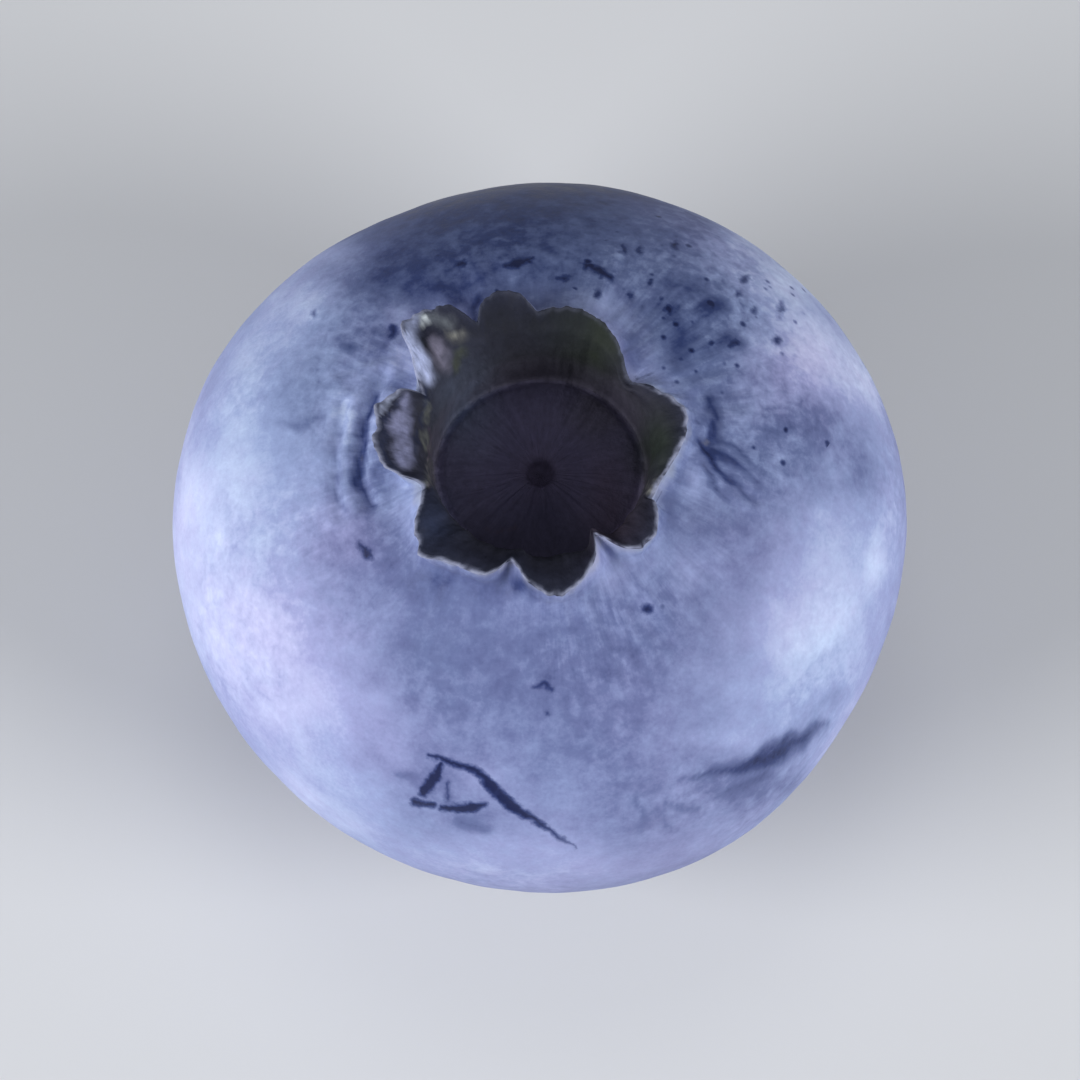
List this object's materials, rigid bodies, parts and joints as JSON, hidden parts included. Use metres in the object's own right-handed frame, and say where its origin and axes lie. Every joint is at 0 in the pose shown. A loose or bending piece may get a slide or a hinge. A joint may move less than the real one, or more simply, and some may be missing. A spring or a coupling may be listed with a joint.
{
  "type": "blueberry",
  "caption": "Ripe blueberry as picked: a squat round fruit with a toothed calyx crown round a shallow cup, and a stem scar under it.",
  "frame": {"origin": "on the surface that the berry rests on, under the middle of its box; the flat ring round the stem scar lies in Z = 0", "axes": "+Z from the stem scar up through the crown, the berry's shortest extent; +X and +Y are right and up in a view from above"},
  "size_m": [0.0202, 0.0198, 0.0159],
  "materials": {
    "bloomed_skin": "dark blue skin under a dull, pale blue wax bloom; dark brown inside the crown"
  },
  "bodies": {
    "root": {"blueberry": "bloomed_skin"}
  },
  "joints": []
}
